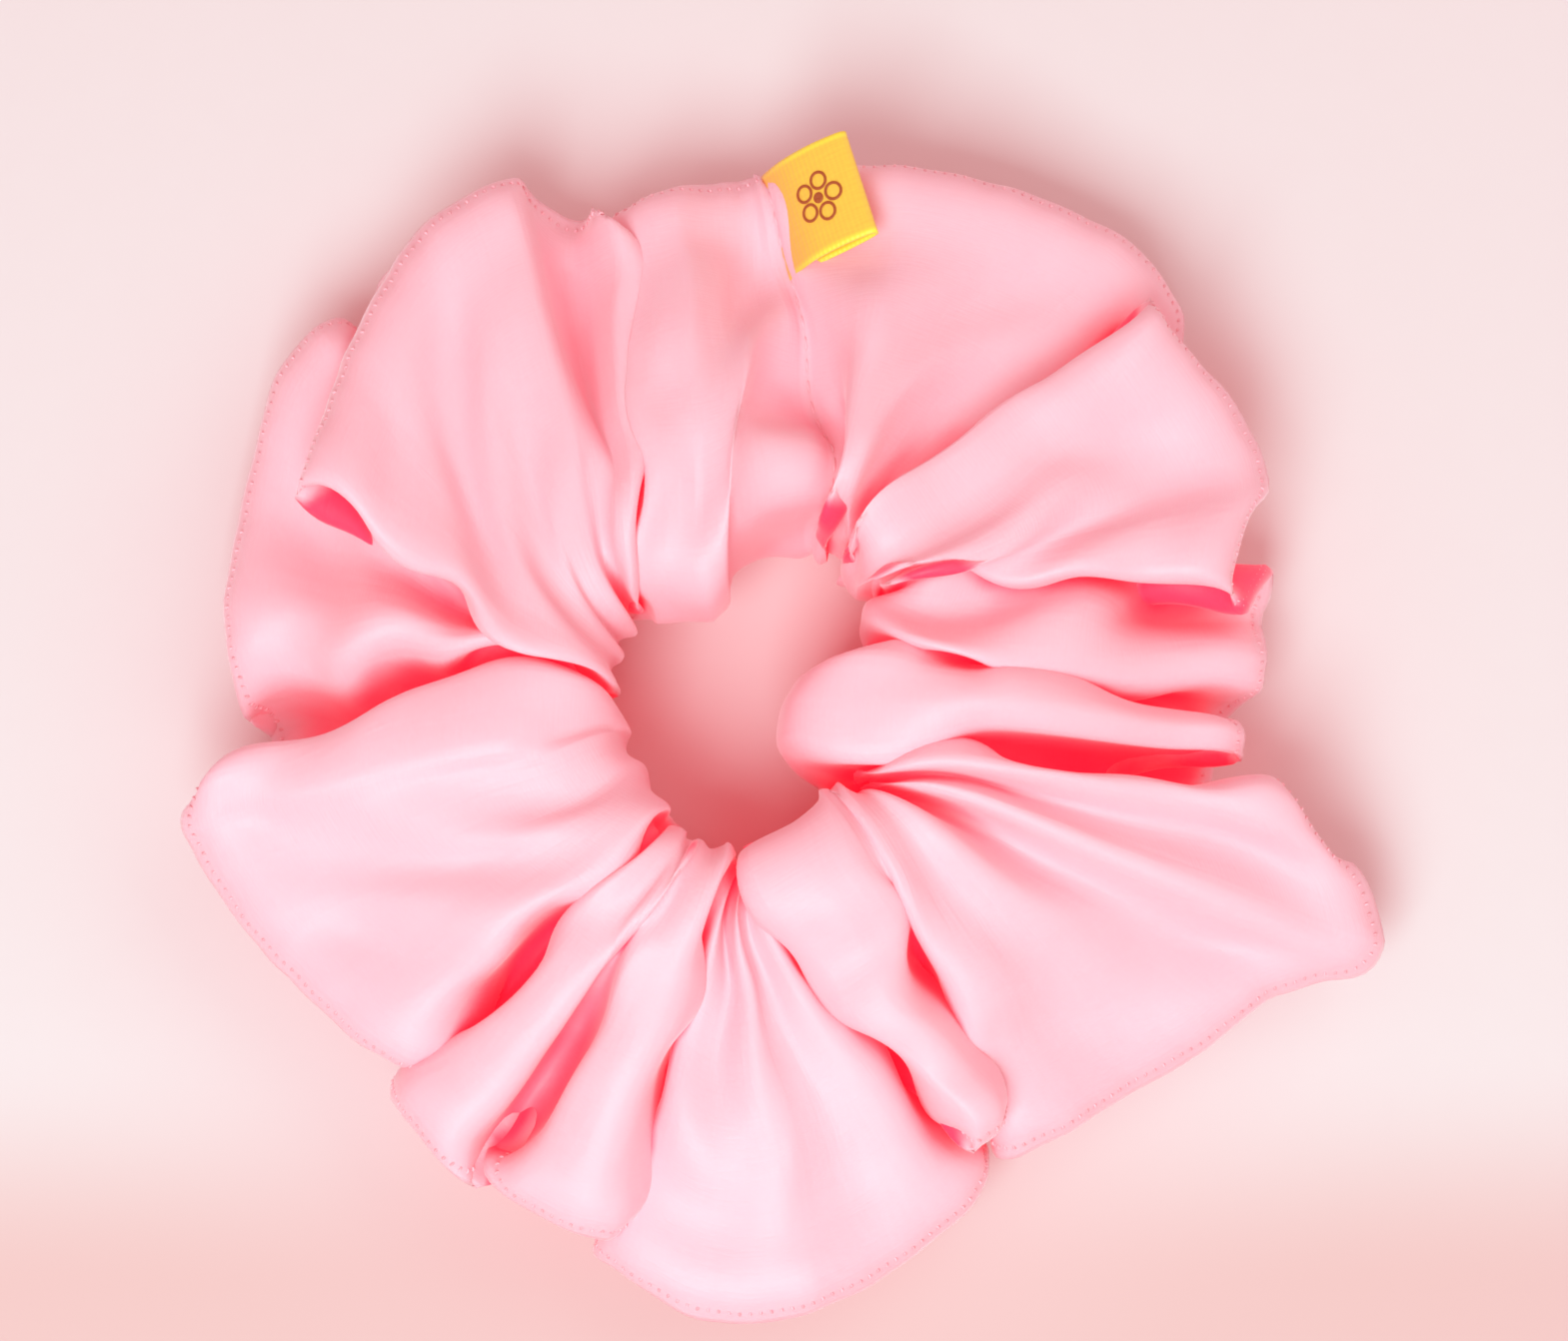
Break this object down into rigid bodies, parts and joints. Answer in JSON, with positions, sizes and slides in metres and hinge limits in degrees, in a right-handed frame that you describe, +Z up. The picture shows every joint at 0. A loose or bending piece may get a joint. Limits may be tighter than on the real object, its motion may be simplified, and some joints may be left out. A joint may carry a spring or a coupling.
{
  "type": "hair scrunchie",
  "caption": "Gathered satin hair ring over a loop of flat elastic, with a folded ribbon label sewn into its closing seam.",
  "frame": {"origin": "middle of the underside's box, on the surface the ring rests on", "axes": "+Z up along the opening's axis, +Y towards the closing seam and its label"},
  "size_m": [0.122, 0.122, 0.028],
  "materials": {
    "pink_satin": "satin weave, soft sheen",
    "pink_thread": "spun polyester thread",
    "elastic_braid": "braided polyester over rubber",
    "rubber_core": "natural rubber",
    "white_thread": "spun polyester thread",
    "yellow_ribbon": "satin ribbon",
    "label_ink": "printed ink"
  },
  "bodies": {
    "ring": {"satin_cover": "pink_satin", "side_seam_needle_thread": "pink_thread", "side_seam_bobbin_thread": "pink_thread", "closing_seam_needle_thread": "pink_thread", "closing_seam_bobbin_thread": "pink_thread", "elastic_braid": "elastic_braid", "elastic_rubber_cores": "rubber_core", "elastic_join_stitches": "white_thread"},
    "label": {"label_ribbon": "yellow_ribbon", "label_print": "label_ink"}
  },
  "joints": [
    {"name": "label_flap", "type": "hinge", "parent": "ring", "child": "label", "pos_m": [0.0025, 0.05, 0.01888], "axis": [0, -0.9002, 0.4356], "range_deg": [0, 140]}
  ]
}
